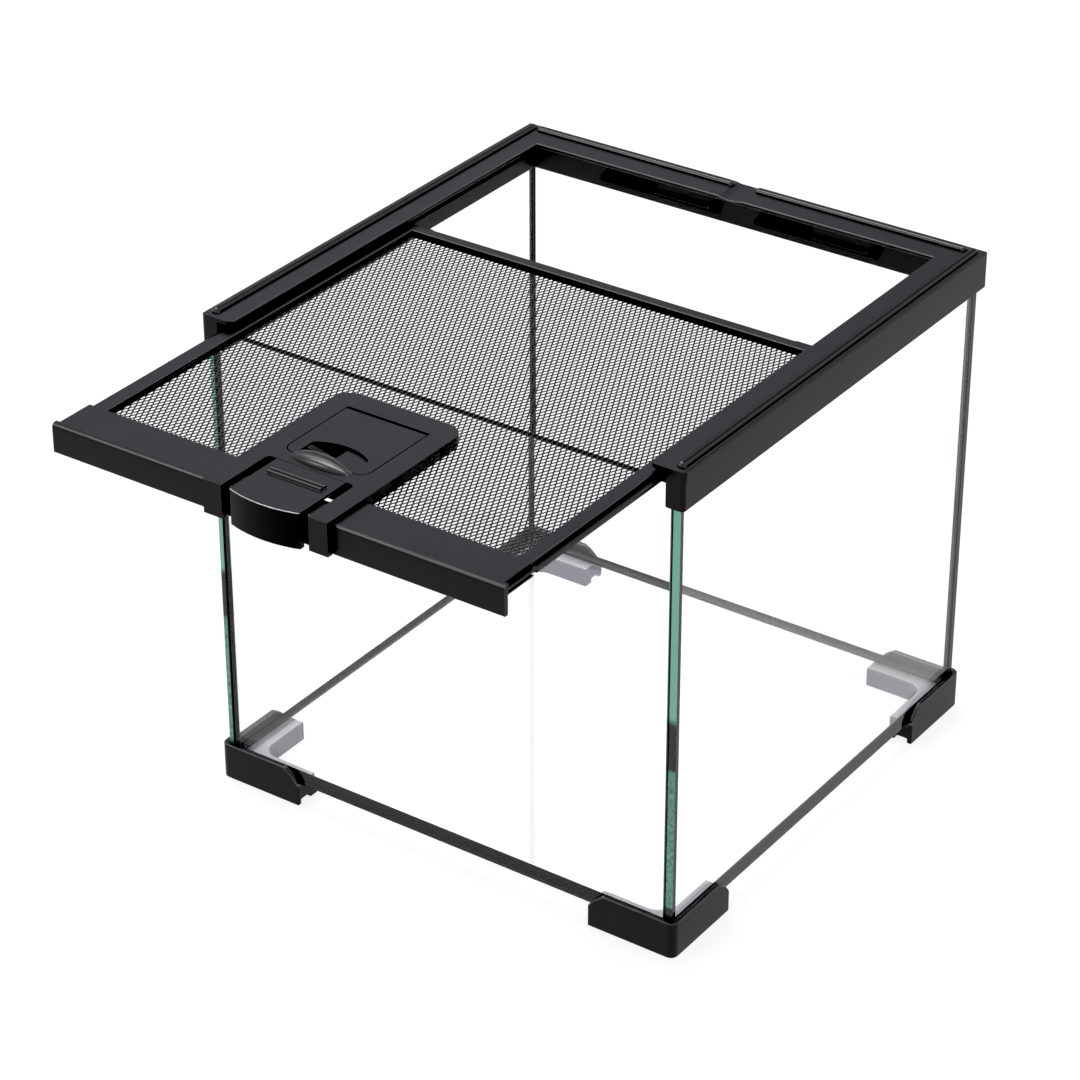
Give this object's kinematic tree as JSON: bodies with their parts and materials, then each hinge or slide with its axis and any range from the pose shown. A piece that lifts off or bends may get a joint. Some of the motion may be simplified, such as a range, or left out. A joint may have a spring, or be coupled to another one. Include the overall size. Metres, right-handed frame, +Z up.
{
  "type": "glass terrarium",
  "caption": "Small glass terrarium with a black top frame, corner feet and a sliding mesh lid with a lock tongue and a hinged feeding door",
  "frame": {"origin": "middle of the object's outline at floor level, with the lid pulled out as in the picture", "axes": "+X to the right of the tank seen from the front, -Y towards the front that the lid slides out of, +Z up"},
  "size_m": [0.2072, 0.3008, 0.2002],
  "materials": {
    "glass": "clear float glass with green edges",
    "silicone": "black silicone sealant",
    "plastic": "satin black moulding",
    "gloss": "polished black moulding",
    "mesh": "black coated expanded metal",
    "steel": "plain pin"
  },
  "bodies": {
    "tank": {"foot_back_left": "plastic", "foot_back_right": "plastic", "foot_front_left": "plastic", "foot_front_right": "plastic", "pane_back": "glass", "pane_floor": "glass", "pane_front": "glass", "pane_left": "glass", "pane_right": "glass", "seam_back_left": "silicone", "seam_back_right": "silicone", "seam_floor_back": "silicone", "seam_floor_front": "silicone", "seam_floor_left": "silicone", "seam_floor_right": "silicone", "seam_front_left": "silicone", "seam_front_right": "silicone", "top_frame": "plastic"},
    "lid": {"lid_frame": "plastic", "lid_front_bar": "plastic", "lid_mesh": "mesh", "latch_housing": "plastic", "latch_clamp": "plastic", "door_hinge_pin": "steel"},
    "tongue": {"lock_tongue": "gloss"},
    "door": {"feeding_door": "plastic"},
    "shutter_left": {"cable_shutter_left": "plastic"},
    "shutter_right": {"cable_shutter_right": "plastic"}
  },
  "joints": [
    {"name": "lid_slide", "type": "slide", "parent": "tank", "child": "lid", "axis": [0, 1, 0], "range_m": [-0.095, 0.0889]},
    {"name": "tongue_flex", "type": "hinge", "parent": "lid", "child": "tongue", "pos_m": [0, -0.12297, 0.1975], "axis": [-1, 0, 0], "range_deg": [0, 7], "stiffness_Nm_per_rad": 1.2},
    {"name": "door_hinge", "type": "hinge", "parent": "lid", "child": "door", "pos_m": [0, -0.08247, 0.1965], "axis": [-1, 0, 0], "range_deg": [0, 95]},
    {"name": "shutter_slide_left", "type": "slide", "parent": "tank", "child": "shutter_left", "axis": [1, 0, 0], "range_m": [-0.023, 0.0035]},
    {"name": "shutter_slide_right", "type": "slide", "parent": "tank", "child": "shutter_right", "axis": [1, 0, 0], "range_m": [-0.023, 0.0035]}
  ]
}
